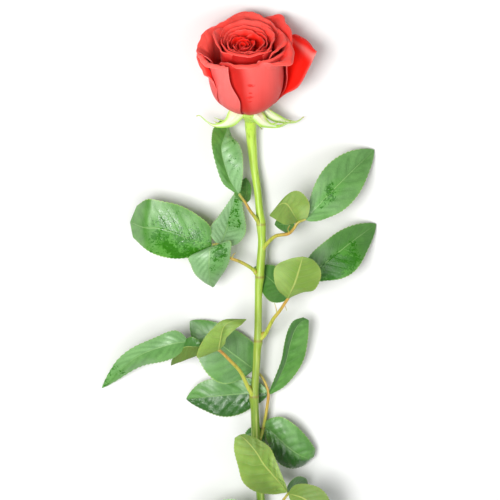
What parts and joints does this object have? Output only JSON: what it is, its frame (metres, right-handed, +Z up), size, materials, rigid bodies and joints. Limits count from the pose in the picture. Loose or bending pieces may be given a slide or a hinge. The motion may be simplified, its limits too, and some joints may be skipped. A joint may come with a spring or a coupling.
{
  "type": "cut rose",
  "caption": "Single red rose on a leafy green stem, lying on its back: layered bloom, turned-down sepals, toothed compound leaves and a slanted cut end.",
  "frame": {"origin": "on the table under the middle of the flower's box", "axes": "+Y along the stem toward the bloom, +Z up from the table toward the side that the camera sees, +X to the right of that view"},
  "size_m": [0.1674, 0.4064, 0.0553],
  "materials": {
    "petal": "soft velvety petal, coral red outside and deep red inside",
    "leaf": "glossy dark green above, pale matt green below",
    "stem": "smooth fresh green stem with pale streaks",
    "calyx": "soft pale green sepals"
  },
  "bodies": {
    "root": {"bloom": "petal", "calyx": "calyx", "stem": "stem", "leaf_a": "leaf", "leaf_b": "leaf", "leaf_c": "leaf", "leaf_d": "leaf", "leaf_e": "leaf", "leaf_f": "leaf", "leaf_g": "leaf", "leaf_h": "leaf"}
  },
  "joints": []
}
